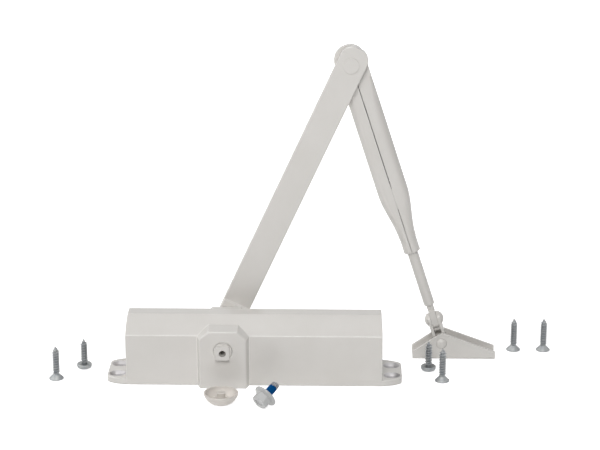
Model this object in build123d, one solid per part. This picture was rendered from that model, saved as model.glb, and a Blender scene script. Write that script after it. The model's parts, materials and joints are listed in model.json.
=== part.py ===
"""Overhead door closer: hydraulic rack-and-pinion body, hinged arm and fixing hardware.

Frame: millimetres, +Z out of the door face, +X along the housing towards its spring end,
+Y along the spindle towards the arm. The origin is the centre of the four fixing slots on
the mounting face, so Z = 0 is both the door face and the table that the parts stand on.
"""

import math
import os

from build123d import *

# Fixing slots and ears
fixing_spacing_x = 202.0
fixing_spacing_y = 19.0
slot_width = 6.4
slot_length = 8.0
countersink_depth = 2.2
ear_thickness = 4.5
ear_overall_length = 216.6
ear_tip_half_width = 14.4
ear_blend_length = 16.3
ear_corner_radius = 5.0

# Housing outside
housing_length = 187.2
housing_depth = 41.0
shoulder_height = 38.4
housing_height = 50.0
roof_flat_width = 11.6
roof_bulge = 0.8
end_lean = 0.7

# Spindle blocks, one on each long side
block_protrusion = 6.2
block_face_width = 33.8
block_root_flare = 4.0
block_height = 43.8
block_top_width = 21.2
block_chamfer_height = 6.0
block_top_rise = 1.8
block_edge_radius = 0.9

# Spindle place and hydraulic cylinder
spindle_x = -22.3
spindle_z = 28.7
cylinder_bore = 33.0
bore_clearance = 0.05
seat_clearance = 0.05
running_clearance = 0.06

# Pinion and rack
gear_module = 2.0
pinion_teeth = 9
profile_shift = 0.5
pressure_angle = 20.0
pinion_tip_radius = 11.6
pinion_width = 21.0
rack_backlash = 0.16
rack_root_clearance = 0.5
opening_angle = 115.0

# Spindle
journal_diameter = 13.4
spindle_shoulder_proud = 0.2
square_size = 10.2
square_turned_diameter = 12.9
square_length = 4.3
arm_thread_core = 5.0
arm_thread_depth = 12.0

# Bearings, seals and the rear bearing cap
bearing_outer_diameter = 18.0
bearing_length = 6.0
bearing_inner_face = 15.0
seal_length = 2.7
seal_gap = 0.2
block_skin_hole_diameter = 13.8
cap_diameter = 28.0
cap_nose_diameter = 20.0
cap_body_length = 10.0
cap_seal_inset = 7.6
spanner_hole_diameter = 2.5
spanner_hole_depth = 2.0
spanner_hole_circle = 22.0

# O-rings
ring_section = 1.8
ring_groove_width = 2.2
ring_squeeze_clearance = 0.04

# End plugs
plug_recess = 1.5
plug_length = 13.0
plug_hex = 10.0
plug_hex_depth = 6.0
spring_spigot_diameter = 19.0
spring_spigot_length = 3.0

# Piston and its check valve
piston_end_gap = 0.8
piston_head_length = 23.0
piston_tail_length = 13.0
window_end_clearance = 1.2
check_ball_diameter = 5.0
check_passage_diameter = 3.0
check_seat_diameter = 9.0
check_seat_length = 7.0
check_ball_travel = 0.8

# Return spring
spring_wire_width = 4.2
spring_wire_height = 4.6
spring_outer_diameter = 30.4
spring_turns = 6.5

# Regulating valves in the left end
valve_spacing_y = 27.0
valve_height = 9.6
valve_head_diameter = 7.0
valve_stem_diameter = 4.4
valve_length = 21.0
valve_head_length = 9.0
valve_tip_length = 4.0
valve_recess = 0.8
valve_slot_width = 1.0
valve_slot_depth = 1.4
gallery_diameter = 2.4
gallery_end_x = -38.0
closing_port_x = -75.0
latching_port_x = -78.2
port_diameter = 1.8

# Main arm
main_arm_length = 219.4
main_arm_angle = 65.3
arm_bar_width = 21.0
arm_bar_thickness = 6.0
arm_hub_step = 1.0
arm_hub_radius = 12.4
arm_hub_gap = 0.1
arm_step_place = 17.7
arm_end_reach = 13.7
arm_end_corner_radius = 8.8
arm_edge_radius = 1.2
square_socket_clearance = 0.1

# Elbow
elbow_rivet_diameter = 8.0
elbow_head_diameter = 11.8
elbow_head_rise = 0.35
elbow_washer_diameter = 18.0
elbow_washer_thickness = 0.8
elbow_tail_diameter = 12.5
elbow_tail_rise = 2.0

# Forearm, rolled from sheet
link_angle = 18.0
forearm_length = 151.4
forearm_width = 22.8
forearm_thickness = 12.0
forearm_sheet = 1.9
forearm_end_thickness = 4.4
forearm_end_reach = 14.0
forearm_end_corner_radius = 10.8
forearm_flat_length = 13.0
forearm_full_from = 32.0
forearm_neck_from = 102.0
forearm_neck_to = 140.0
forearm_neck_width_1 = 20.3
forearm_neck_width_2 = 15.5
neck_flat = 0.6
ferrule_diameter = 12.3
seam_width = 0.5
seam_start = 16.0
seam_weld_from = 99.0
seam_weld_to = 115.5

# Threaded rod
rod_diameter = 8.0
rod_thread_clearance = 0.1
rod_engagement = 56.0
rod_shoulder_to_pin = 11.2
rod_shoulder_chamfer = 1.6
rod_neck_diameter = 5.2
rod_neck_length = 3.4
tongue_thickness = 4.8
tongue_width = 9.6
tongue_end = 7.0

# Yoke and cross rivet
yoke_length = 18.0
yoke_strip = 2.3
yoke_width = 10.4
yoke_side_clearance = 0.1
cross_rivet_diameter = 4.0
cross_head_diameter = 9.4
cross_head_rise = 2.4

# Shoe and its pin
shoe_pin_height = 12.8
shoe_pin_diameter = 5.0
shoe_pin_head_diameter = 8.2
shoe_pin_head_rise = 2.4
shoe_length = 62.2
shoe_pin_to_left_end = 21.6
shoe_depth = 15.6
shoe_sheet = 1.9
shoe_apex_height = 20.2
shoe_end_height = 6.2
shoe_apex_radius = 4.0
shoe_fold_radius = 2.4
shoe_hole_diameter = 5.2
shoe_hole_spacing = 45.0
shoe_hole_to_left_end = 8.0

# Loose hardware, standing on the table beside the closer
loose_cap_place = (-22.2, -53.0)
cap_cover_diameter = 24.8
cap_cover_height = 8.0
cap_cover_face_diameter = 12.0
cap_cover_wall = 1.2
cap_post_diameter = 6.2
cap_post_height = 8.0
cap_rib_thickness = 1.0
bolt_place = (8.9, -60.9)
bolt_heading = 46.5
bolt_tilt = 28.0
bolt_hex = 10.6
bolt_head_height = 6.0
bolt_flange_diameter = 17.8
bolt_flange_rim = 1.0
bolt_flange_thickness = 2.0
bolt_shank_diameter = 5.3
bolt_shank_length = 12.4
bolt_recess_diameter = 6.4
bolt_recess_depth = 0.8
countersunk_places = ((-146.4, -9.7), (138.0, -8.5), (195.5, 54.6), (218.2, 54.6))
countersunk_length = 25.4
countersunk_head_diameter = 10.8
pan_places = ((-128.3, 11.4), (128.7, 11.7))
pan_length = 23.0
pan_head_diameter = 11.2
pan_head_height = 3.6
screw_shank_diameter = 3.9
screw_point_length = 5.0
screw_rim = 0.5
screw_recess_width = 1.1
screw_recess_length = 5.0
screw_recess_depth = 1.6

# Worked-out places
block_face_y = housing_depth / 2 + block_protrusion
pitch_radius = gear_module * pinion_teeth / 2
pinion_root_radius = pitch_radius - gear_module * (1.25 - profile_shift)
rack_reference = pitch_radius + profile_shift * gear_module
rack_tip = rack_reference - gear_module
rack_root = pinion_tip_radius + rack_root_clearance
piston_travel = pitch_radius * math.radians(opening_angle)
plug_inner_x = housing_length / 2 - plug_recess - plug_length
piston_radius = cylinder_bore / 2 - bore_clearance
piston_left_x = -plug_inner_x + piston_end_gap
window_left_x = spindle_x - pinion_tip_radius - window_end_clearance - piston_travel
window_right_x = spindle_x + pinion_tip_radius + window_end_clearance
piston_right_x = window_right_x + piston_tail_length
seal_inner_face = bearing_inner_face + bearing_length + seal_gap
skin_face = seal_inner_face + seal_length + seal_gap
shoulder_y = block_face_y + spindle_shoulder_proud
spindle_end_y = shoulder_y + square_length
hub_front_y = shoulder_y + arm_hub_gap
bar_front_y = hub_front_y + arm_hub_step
bar_back_y = bar_front_y + arm_bar_thickness
forearm_front_y = bar_back_y + elbow_washer_thickness
link_y = forearm_front_y + forearm_thickness / 2
elbow_x = spindle_x + main_arm_length * math.cos(math.radians(main_arm_angle))
elbow_z = spindle_z + main_arm_length * math.sin(math.radians(main_arm_angle))
link_length = (elbow_z - shoe_pin_height) / math.cos(math.radians(link_angle))
shoe_pin_x = elbow_x + link_length * math.sin(math.radians(link_angle))
cross_place = link_length - yoke_length
rod_shoulder_place = cross_place - rod_shoulder_to_pin
yoke_gap = tongue_thickness + 2 * yoke_side_clearance
yoke_outer = yoke_gap / 2 + yoke_strip


def link_frame(x, z, angle):
    """Places a piece built along +X, with Y across, so that it points at an angle above +X."""
    return Pos(x, 0, z) * Rot(0, -angle, 0)


def spindle_frame(shape):
    """Turns a solid of revolution built about Z from the spindle centre so that Z becomes +Y."""
    return Pos(spindle_x, 0, spindle_z) * Rot(-90, 0, 0) * shape


def along_x(shape, x=0.0, y=0.0, z=0.0):
    """Turns a solid built about Z so that Z becomes +X, and moves it."""
    return Pos(x, y, z) * Rot(0, 90, 0) * shape


def ring(outer_radius, inner_radius, low, high):
    """A plain ring about Z between two heights."""
    height = high - low
    body = Pos(0, 0, low) * Cylinder(outer_radius, height, align=(Align.CENTER, Align.CENTER, Align.MIN))
    hole = Pos(0, 0, low) * Cylinder(inner_radius, height, align=(Align.CENTER, Align.CENTER, Align.MIN))
    return body - hole


def rod_between(radius, low, high):
    """A plain round bar about Z between two heights."""
    return Pos(0, 0, low) * Cylinder(radius, high - low, align=(Align.CENTER, Align.CENTER, Align.MIN))


def o_ring(bore_radius, place):
    """An O-ring about Z that touches a bore from inside, its section squeezed to an octagon."""
    centre_radius = bore_radius - ring_section / 2 - ring_squeeze_clearance
    section = Rot(0, 0, 22.5) * RegularPolygon(ring_section / 2, 8, major_radius=False)
    return revolve(Plane.XZ * (Pos(centre_radius, place) * section), Axis.Z)


def ring_groove(bore_radius, place):
    """The groove that holds an O-ring: everything outside the ring's inner radius."""
    floor = bore_radius - ring_section - 2 * ring_squeeze_clearance
    half = ring_groove_width / 2
    return ring(bore_radius + ring_section, floor, place - half, place + half)


def domed_head(diameter, rise):
    """A rivet head about Z, flat side at Z = 0 and dome upwards."""
    sphere_radius = (diameter**2 / 4 + rise**2) / (2 * rise)
    ball = Pos(0, 0, rise - sphere_radius) * Sphere(sphere_radius)
    return ball & rod_between(diameter, 0, rise)


def housing_section():
    """The housing's section across X: upright sides, bulged roof slopes and a flat top."""
    half = housing_depth / 2
    top = roof_flat_width / 2
    slope = math.atan2(housing_height - shoulder_height, half - top)
    middle_y = (half + top) / 2 + roof_bulge * math.sin(slope)
    middle_z = (shoulder_height + housing_height) / 2 + roof_bulge * math.cos(slope)
    outline = [
        Line((-half, 0), (-half, shoulder_height)),
        ThreePointArc((-half, shoulder_height), (-middle_y, middle_z), (-top, housing_height)),
        Line((-top, housing_height), (top, housing_height)),
        ThreePointArc((top, housing_height), (middle_y, middle_z), (half, shoulder_height)),
        Line((half, shoulder_height), (half, 0)),
        Line((half, 0), (-half, 0)),
    ]
    return make_face(outline)


def housing_end_outline():
    """The housing seen from the front: upright ends that lean in above the shoulder."""
    half = housing_length / 2
    over = housing_height + block_protrusion
    outline = [
        Line((-half, 0), (half, 0)),
        Line((half, 0), (half, shoulder_height)),
        TangentArc((half, shoulder_height), (half - end_lean, housing_height), tangent=(0, 1)),
        Line((half - end_lean, housing_height), (half - end_lean, over)),
        Line((half - end_lean, over), (end_lean - half, over)),
        Line((end_lean - half, over), (end_lean - half, housing_height)),
        TangentArc((-half, shoulder_height), (end_lean - half, housing_height), tangent=(0, 1)),
        Line((-half, shoulder_height), (-half, 0)),
    ]
    return make_face(outline)


def ear_plate():
    """The foot plate: its ends taper in plan to the ears and carry the four slots."""
    tip = ear_overall_length / 2
    start = tip - ear_blend_length
    half = housing_depth / 2
    outline = [
        Line((-start, half), (start, half)),
        TangentArc((start, half), (tip, ear_tip_half_width), tangent=(1, 0)),
        Line((tip, ear_tip_half_width), (tip, -ear_tip_half_width)),
        TangentArc((start, -half), (tip, -ear_tip_half_width), tangent=(1, 0)),
        Line((start, -half), (-start, -half)),
        TangentArc((-start, -half), (-tip, -ear_tip_half_width), tangent=(-1, 0)),
        Line((-tip, -ear_tip_half_width), (-tip, ear_tip_half_width)),
        TangentArc((-start, half), (-tip, ear_tip_half_width), tangent=(-1, 0)),
    ]
    plate = extrude(make_face(outline), ear_thickness)
    corners = plate.edges().filter_by(Axis.Z).filter_by(lambda edge: abs(edge.center().X) > tip - 0.01)
    return fillet(corners, ear_corner_radius)


def fixing_slot():
    """One countersunk slot, as a cutter about the origin."""
    wide_length = slot_length + 2 * countersink_depth
    wide_width = slot_width + 2 * countersink_depth
    mouth = Pos(0, 0, ear_thickness) * SlotOverall(wide_length, wide_width)
    countersink = extrude(mouth, -countersink_depth, taper=45)
    return countersink + extrude(SlotOverall(slot_length, slot_width), ear_thickness)


def block_profile(width, top_width, height):
    """The spindle block seen along the spindle, with its two top corners cut off."""
    shoulder = height - block_chamfer_height
    return Polyline(
        (-width / 2, 0),
        (width / 2, 0),
        (width / 2, shoulder),
        (top_width / 2, height),
        (-top_width / 2, height),
        (-width / 2, shoulder),
        close=True,
    )


def spindle_block(side):
    """A drafted block round one end of the spindle; side is -1 in front and +1 behind."""
    buried = housing_depth / 2 - roof_flat_width / 2
    flare = block_root_flare * (buried + block_protrusion) / block_protrusion
    face_plane = Plane((spindle_x, side * block_face_y, 0), x_dir=(1, 0, 0), z_dir=(0, -1, 0))
    root_plane = Plane((spindle_x, side * roof_flat_width / 2, 0), x_dir=(1, 0, 0), z_dir=(0, -1, 0))
    face = make_face(block_profile(block_face_width, block_top_width, block_height))
    root_height = block_height + block_top_rise
    root = make_face(block_profile(block_face_width + flare, block_top_width, root_height))
    block = loft([face_plane * face, root_plane * root], ruled=True)
    rim = [
        edge
        for edge in block.edges()
        if abs(abs(edge.center().Y) - block_face_y) < 0.01 and edge.center().Z > 1
    ]
    return fillet(rim, block_edge_radius)


def spindle_cuts():
    """The holes for the spindle: a blind front seat and a wide rear mouth for its cap."""
    seat_radius = bearing_outer_diameter / 2 + seat_clearance
    front = rod_between(seat_radius, -skin_face, 0)
    skin = rod_between(block_skin_hole_diameter / 2, -block_face_y - block_protrusion, 0)
    rear = rod_between(cap_diameter / 2 + seat_clearance, 0, block_face_y + block_protrusion)
    return spindle_frame(front + skin + rear)


def valve_places():
    """The two regulating valves: Y of the closing valve, then Y of the latching valve."""
    return (-valve_spacing_y / 2, valve_spacing_y / 2)


def valve_bore():
    """The stepped hole of one regulating valve, about Z from the housing's end face inwards."""
    head = rod_between(valve_head_diameter / 2 + seat_clearance, -1, valve_recess + valve_head_length)
    stem_end = valve_recess + valve_length + valve_tip_length
    return head + rod_between(valve_stem_diameter / 2 + seat_clearance, 0, stem_end)


def drilling(start, end, diameter):
    """A drilled hole between two points."""
    axis = Vector(*end) - Vector(*start)
    plane = Plane(start, z_dir=axis)
    return extrude(plane * Circle(diameter / 2), axis.length)


def oil_passages(y, port_x):
    """One valve's gallery with a port on each side of its seat, both opening in the cylinder."""
    tip_x = valve_recess + valve_length + valve_tip_length / 2 - housing_length / 2
    floor_y = y * 0.62
    floor_z = spindle_z - 0.8 * cylinder_bore / 2
    gallery = drilling((tip_x, y, valve_height), (gallery_end_x, y, valve_height), gallery_diameter)
    port = drilling((tip_x, y, valve_height), (port_x, floor_y, floor_z), port_diameter)
    back = drilling(
        (gallery_end_x - gallery_diameter / 2, y, valve_height),
        (gallery_end_x - gallery_diameter / 2, floor_y, floor_z),
        port_diameter,
    )
    return gallery + port + back


def housing():
    """Cast body: roofed box, foot plate with ears, two spindle blocks and all its bores."""
    body = extrude(Plane.YZ * housing_section(), housing_length / 2, both=True)
    body &= extrude(Plane.XZ * housing_end_outline(), housing_depth, both=True)
    body += ear_plate()
    body += spindle_block(-1)
    body += spindle_block(1)
    body -= along_x(rod_between(cylinder_bore / 2, -housing_length, housing_length), z=spindle_z)
    body -= spindle_cuts()
    for x in (-fixing_spacing_x / 2, fixing_spacing_x / 2):
        for y in (-fixing_spacing_y / 2, fixing_spacing_y / 2):
            body -= Pos(x, y, 0) * fixing_slot()
    for y, port_x in zip(valve_places(), (closing_port_x, latching_port_x)):
        body -= along_x(valve_bore(), x=-housing_length / 2, y=y, z=valve_height)
        body -= oil_passages(y, port_x)
    return body


def end_plug(with_spigot):
    """A screwed-in end plug about Z, outer face at Z = 0 with a hexagon socket."""
    radius = cylinder_bore / 2 - seat_clearance
    plug = rod_between(radius, 0, plug_length)
    socket = extrude(RegularPolygon(plug_hex / 2, 6, major_radius=False), plug_hex_depth)
    plug -= socket
    plug -= ring_groove(cylinder_bore / 2, plug_length - ring_groove_width)
    if with_spigot:
        plug += rod_between(spring_spigot_diameter / 2, plug_length, plug_length + spring_spigot_length)
    return plug


def left_end_plug():
    return along_x(end_plug(False), x=plug_recess - housing_length / 2, z=spindle_z)


def right_end_plug():
    return Rot(0, 0, 180) * along_x(end_plug(True), x=plug_recess - housing_length / 2, z=spindle_z)


def end_plug_seals():
    """One O-ring on each end plug."""
    place = plug_inner_x + ring_groove_width
    seal = o_ring(cylinder_bore / 2, 0)
    return [along_x(seal, x=side * place, z=spindle_z) for side in (-1, 1)]


def spindle_bearings():
    """Two bushes that carry the spindle, in the front block and in the rear cap."""
    bush = ring(
        bearing_outer_diameter / 2,
        journal_diameter / 2 + running_clearance,
        bearing_inner_face,
        bearing_inner_face + bearing_length,
    )
    return [spindle_frame(bush), spindle_frame(Rot(180, 0, 0) * bush)]


def spindle_seals():
    """Two lip seals outside the bearings: a case with a lip that is thinner than the case."""
    lip_radius = journal_diameter / 2 + running_clearance
    case = ring(bearing_outer_diameter / 2, lip_radius, seal_inner_face, seal_inner_face + seal_length)
    pocket = ring(bearing_outer_diameter / 2 - 1, lip_radius + 0.8, seal_inner_face, seal_inner_face + 1.5)
    seal = case - pocket
    return [spindle_frame(seal), spindle_frame(Rot(180, 0, 0) * seal)]


def bearing_cap():
    """Screwed-in cap that closes the rear mouth and holds the rear bearing and seal."""
    cap = rod_between(cap_nose_diameter / 2, bearing_inner_face, block_face_y)
    cap += rod_between(cap_diameter / 2, block_face_y - cap_body_length, block_face_y)
    cap -= rod_between(bearing_outer_diameter / 2 + seat_clearance, 0, skin_face)
    cap -= rod_between(block_skin_hole_diameter / 2, 0, block_face_y + 1)
    cap -= ring_groove(cap_diameter / 2 + seat_clearance, cap_seal_place())
    hole = rod_between(spanner_hole_diameter / 2, block_face_y - spanner_hole_depth, block_face_y + 1)
    for side in (-1, 1):
        cap -= Pos(side * spanner_hole_circle / 2, 0, 0) * hole
    return spindle_frame(cap)


def cap_seal_place():
    """How far out along the spindle the bearing cap's O-ring lies."""
    return block_face_y - cap_seal_inset


def bearing_cap_seal():
    return spindle_frame(o_ring(cap_diameter / 2 + seat_clearance, cap_seal_place()))


def regulating_valve():
    """Needle screw about Z, outer face at Z = 0: slotted head, stem and conical tip."""
    valve = rod_between(valve_head_diameter / 2, 0, valve_head_length)
    valve += rod_between(valve_stem_diameter / 2, 0, valve_length)
    tip = Cone(valve_stem_diameter / 2, 0.4, valve_tip_length, align=(Align.CENTER, Align.CENTER, Align.MIN))
    valve += Pos(0, 0, valve_length) * tip
    slot = Box(valve_head_diameter * 2, valve_slot_width, 2 * valve_slot_depth)
    return valve - slot - ring_groove(valve_head_diameter / 2 + seat_clearance, valve_head_length / 2)


def placed_valve(y):
    return along_x(regulating_valve(), x=valve_recess - housing_length / 2, y=y, z=valve_height)


def valve_seal(y):
    """The O-ring of one regulating valve."""
    seal = o_ring(valve_head_diameter / 2 + seat_clearance, valve_recess + valve_head_length / 2)
    return along_x(seal, x=-housing_length / 2, y=y, z=valve_height)


def involute(angle):
    return math.tan(angle) - angle


def tooth_half_angle(radius):
    """Half the pinion tooth's angular thickness at a radius, in radians."""
    base_radius = pitch_radius * math.cos(math.radians(pressure_angle))
    here = math.acos(min(1.0, base_radius / radius))
    pitch_thickness = gear_module * (math.pi / 2 + 2 * profile_shift * math.tan(math.radians(pressure_angle)))
    at_pitch = pitch_thickness / (2 * pitch_radius)
    return at_pitch + involute(math.radians(pressure_angle)) - involute(here)


def tooth_point(radius, turn):
    """A point at a radius, turned clockwise from straight down, in radians."""
    return (-radius * math.sin(turn), -radius * math.cos(turn))


def pinion_outline():
    """The pinion's whole outline: involute flanks, tip arcs and root arcs, a tooth straight down."""
    base_radius = pitch_radius * math.cos(math.radians(pressure_angle))
    steps = [base_radius + (pinion_tip_radius - base_radius) * share for share in (0, 0.36, 1)]
    tooth_pitch = 2 * math.pi / pinion_teeth
    at_base = tooth_half_angle(base_radius)
    edges = []
    for tooth in range(pinion_teeth):
        middle = tooth * tooth_pitch
        first = [tooth_point(r, middle - tooth_half_angle(r)) for r in steps]
        second = [tooth_point(r, middle + tooth_half_angle(r)) for r in reversed(steps)]
        foot_in = tooth_point(pinion_root_radius, middle - at_base)
        foot_out = tooth_point(pinion_root_radius, middle + at_base)
        next_foot = tooth_point(pinion_root_radius, middle + tooth_pitch - at_base)
        gap_middle = tooth_point(pinion_root_radius, middle + tooth_pitch / 2)
        edges.append(Line(foot_in, first[0]))
        edges.append(ThreePointArc(*first))
        edges.append(ThreePointArc(first[-1], tooth_point(pinion_tip_radius, middle), second[0]))
        edges.append(ThreePointArc(*second))
        edges.append(Line(second[-1], foot_out))
        edges.append(ThreePointArc(foot_out, gap_middle, next_foot))
    return make_face(edges)


def square_end(side):
    """One squared end of the spindle with its tapped hole's core; side is -1 or +1."""
    square = Rectangle(square_size, square_size) & Circle(square_turned_diameter / 2)
    end = Pos(0, 0, shoulder_y) * extrude(square, square_length)
    core = rod_between(arm_thread_core / 2, spindle_end_y - arm_thread_depth, spindle_end_y + 1)
    return Rot(0 if side > 0 else 180, 0, 0) * end, Rot(0 if side > 0 else 180, 0, 0) * core


def spindle():
    """Pinion shaft: nine-tooth pinion, two journals and a squared, tapped end on each side."""
    shaft = rod_between(journal_diameter / 2, -shoulder_y, shoulder_y)
    gear = extrude(Plane.XZ * pinion_outline(), pinion_width / 2, both=True)
    shaft_body = spindle_frame(shaft) + Pos(spindle_x, 0, spindle_z) * gear
    for side in (-1, 1):
        end, core = square_end(side)
        shaft_body += spindle_frame(end)
        shaft_body -= spindle_frame(core)
    return shaft_body


def rack_space(centre_x):
    """The cutter for one space between rack teeth, along Y."""
    half_pitch = math.pi * gear_module / 4
    slope = math.tan(math.radians(pressure_angle))
    over = rack_tip - 1.0
    half_top = half_pitch + rack_backlash / 2 + (rack_reference - over) * slope
    half_bottom = half_pitch + rack_backlash / 2 - (rack_root - rack_reference) * slope
    outline = Polyline(
        (centre_x - half_top, spindle_z - over),
        (centre_x + half_top, spindle_z - over),
        (centre_x + half_bottom, spindle_z - rack_root),
        (centre_x - half_bottom, spindle_z - rack_root),
        close=True,
    )
    return extrude(Plane.XZ * make_face(outline), cylinder_bore / 2, both=True)


def rack_spaces():
    """Every rack space that lies wholly inside the piston's window."""
    pitch = math.pi * gear_module
    first = math.ceil((window_left_x - spindle_x) / pitch + 0.5)
    last = math.floor((window_right_x - spindle_x) / pitch - 0.5)
    return [rack_space(spindle_x + k * pitch) for k in range(first, last + 1)]


def piston():
    """Piston with a window for the pinion, the rack cut in the window's floor and a valve bore."""
    body = rod_between(piston_radius, piston_left_x, piston_right_x)
    body = along_x(body, z=spindle_z)
    window_top = spindle_z + pinion_tip_radius + rack_root_clearance
    window_floor = spindle_z - rack_tip
    window = Box(
        window_right_x - window_left_x,
        cylinder_bore,
        window_top - window_floor,
        align=(Align.MIN, Align.CENTER, Align.MIN),
    )
    body -= Pos(window_left_x, 0, window_floor) * window
    for space in rack_spaces():
        body -= space
    seat = rod_between(check_seat_diameter / 2 + seat_clearance, -1, check_seat_length)
    chamber_end = check_seat_length + check_ball_diameter + check_ball_travel
    chamber = rod_between(check_ball_diameter / 2 + 0.3, 0, chamber_end)
    passage = rod_between(check_passage_diameter / 2, 0, piston_head_length * 2)
    body -= along_x(seat + chamber + passage, x=piston_left_x, z=spindle_z)
    groove = ring_groove(cylinder_bore / 2, piston_seal_place())
    return body - along_x(groove, z=spindle_z)


def piston_seal_place():
    """X of the piston's O-ring, in the middle of its solid head."""
    return piston_left_x + piston_head_length / 2


def piston_seal():
    return along_x(o_ring(cylinder_bore / 2, piston_seal_place()), z=spindle_z)


def check_valve_seat():
    """Screwed sleeve that closes the check valve's chamber, with a conical seat for the ball."""
    seat = rod_between(check_seat_diameter / 2, 0, check_seat_length)
    seat -= rod_between(check_passage_diameter / 2, -1, check_seat_length + 1)
    ball = Pos(0, 0, check_ball_centre()) * Sphere(check_ball_diameter / 2 + 0.02)
    return along_x(seat - ball, x=piston_left_x, z=spindle_z)


def check_ball_centre():
    """The ball's centre from the piston's left face, as it sits in the seat's cup."""
    ball_radius = check_ball_diameter / 2
    cup = ball_radius * 0.75
    return check_seat_length - cup + ball_radius


def check_valve_ball():
    return along_x(Sphere(check_ball_diameter / 2), x=piston_left_x + check_ball_centre(), z=spindle_z)


def return_spring():
    """Rectangular-wire spring between the piston and the right end plug, with ground ends."""
    low = piston_right_x
    high = plug_inner_x
    coil_radius = (spring_outer_diameter - spring_wire_width) / 2
    free = high - low
    path = Helix(free / spring_turns, free, coil_radius)
    start = Plane(path @ 0, x_dir=(1, 0, 0), z_dir=path % 0)
    wire = sweep(start * Rectangle(spring_wire_width, spring_wire_height), path=path, is_frenet=True)
    ground = rod_between(spring_outer_diameter, 0, free)
    return along_x(wire & ground, x=low, z=spindle_z)


def link_bar(start, end, width, corner_radius):
    """A bar along +X in plan whose far end has two large round corners."""
    bar = Pos(start, 0) * Rectangle(end - start, width, align=(Align.MIN, Align.CENTER))
    return fillet(bar.vertices().group_by(Axis.X)[-1], corner_radius)


def main_arm_blank():
    """The main arm in plan: hub disc, straight bar and rounded elbow end, thick as its hub."""
    hub = Circle(arm_hub_radius)
    return hub + link_bar(0, main_arm_length + arm_end_reach, arm_bar_width, arm_end_corner_radius)


def in_link_plane(face, front_y, back_y):
    """Extrudes a plan drawn in a link's own X and Z from one Y to another."""
    plane = Plane((0, back_y, 0), x_dir=(1, 0, 0), z_dir=(0, -1, 0))
    return extrude(plane * face, back_y - front_y)


def main_arm():
    """Flat steel bar with a squared hub, a small step beside the hub and a riveted elbow end."""
    blank = in_link_plane(main_arm_blank(), hub_front_y, bar_back_y)
    long_faces = blank.faces().filter_by(Axis.Y)
    blank = fillet(long_faces.edges(), arm_edge_radius)
    step = Polyline(
        (arm_step_place, hub_front_y - 1),
        (arm_step_place, hub_front_y),
        (arm_step_place + arm_hub_step, bar_front_y),
        (main_arm_length + 2 * arm_end_reach, bar_front_y),
        (main_arm_length + 2 * arm_end_reach, hub_front_y - 1),
        close=True,
    )
    blank -= extrude(make_face(step), 2 * arm_hub_radius, both=True)
    socket = Rectangle(square_size + square_socket_clearance, square_size + square_socket_clearance)
    blank -= in_link_plane(Rot(0, 0, -main_arm_angle) * socket, hub_front_y - 1, bar_back_y + 1)
    rivet_hole = Pos(main_arm_length, 0) * Circle(elbow_rivet_diameter / 2 + seat_clearance)
    blank -= in_link_plane(rivet_hole, hub_front_y - 1, bar_back_y + 1)
    return link_frame(spindle_x, spindle_z, main_arm_angle) * blank


def elbow_frame(shape):
    """Turns a shape about Z so that it lies on the elbow's axis, Z becoming +Y."""
    return Pos(elbow_x, 0, elbow_z) * Rot(-90, 0, 0) * shape


def elbow_rivet():
    """Rivet through the elbow: flat front head, shank and formed rear head."""
    end_y = forearm_front_y + forearm_end_thickness
    shank = rod_between(elbow_rivet_diameter / 2, bar_front_y, end_y)
    head = rod_between(elbow_head_diameter / 2, bar_front_y - elbow_head_rise, bar_front_y)
    tail = Pos(0, 0, end_y + running_clearance) * domed_head(elbow_tail_diameter, elbow_tail_rise)
    neck = rod_between(elbow_rivet_diameter / 2, end_y - 1, end_y + running_clearance + 0.1)
    return elbow_frame(shank + head + neck + tail)


def elbow_washer():
    inner = elbow_rivet_diameter / 2 + seat_clearance
    washer = ring(elbow_washer_diameter / 2, inner, bar_back_y, forearm_front_y - running_clearance)
    return elbow_frame(washer)


def forearm_section(place, width, thickness):
    """An obround section across the forearm, centred on the link's own plane."""
    plane = Plane((place, link_y, 0), x_dir=(0, 0, 1), z_dir=(1, 0, 0))
    return plane * SlotOverall(width, thickness)


def forearm_tube():
    """The outside of the obround tube and of the neck that draws it in to the ferrule."""
    neck_length = forearm_neck_to - forearm_neck_from
    straight = loft(
        [
            forearm_section(forearm_full_from, forearm_width, forearm_thickness),
            forearm_section(forearm_neck_from, forearm_width, forearm_thickness),
        ],
        ruled=True,
    )
    neck = loft(
        [
            forearm_section(forearm_neck_from, forearm_width, forearm_thickness),
            forearm_section(forearm_neck_from + neck_length / 3, forearm_neck_width_1, forearm_thickness),
            forearm_section(forearm_neck_from + neck_length * 2 / 3, forearm_neck_width_2, forearm_thickness),
            forearm_section(forearm_neck_to, ferrule_diameter + neck_flat, ferrule_diameter),
        ]
    )
    return straight + neck


def forearm():
    """Rolled sheet arm: pressed flat at the elbow, obround tube with a front seam, round ferrule."""
    end_back_y = forearm_front_y + forearm_end_thickness
    flat_plan = Rot(0, 0, 180) * link_bar(
        -forearm_flat_length, forearm_end_reach, forearm_width, forearm_end_corner_radius
    )
    flat = in_link_plane(flat_plan, forearm_front_y, end_back_y)
    flat_mouth = Plane(
        (forearm_flat_length, (forearm_front_y + end_back_y) / 2, 0), x_dir=(0, 0, 1), z_dir=(1, 0, 0)
    )
    swell = loft(
        [
            flat_mouth * SlotOverall(forearm_width, forearm_end_thickness),
            forearm_section(forearm_full_from, forearm_width, forearm_thickness),
        ],
        ruled=True,
    )
    ferrule = along_x(rod_between(ferrule_diameter / 2, forearm_neck_to, forearm_length), y=link_y)
    arm = flat + swell + forearm_tube() + ferrule
    arm -= forearm_hollow()
    hole = Circle(elbow_rivet_diameter / 2 + running_clearance)
    arm -= in_link_plane(hole, forearm_front_y - 1, link_y)
    arm -= seam(seam_start, seam_weld_from)
    arm -= seam(seam_weld_to, forearm_length + 1)
    return link_frame(elbow_x, elbow_z, link_angle - 90) * arm


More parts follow.
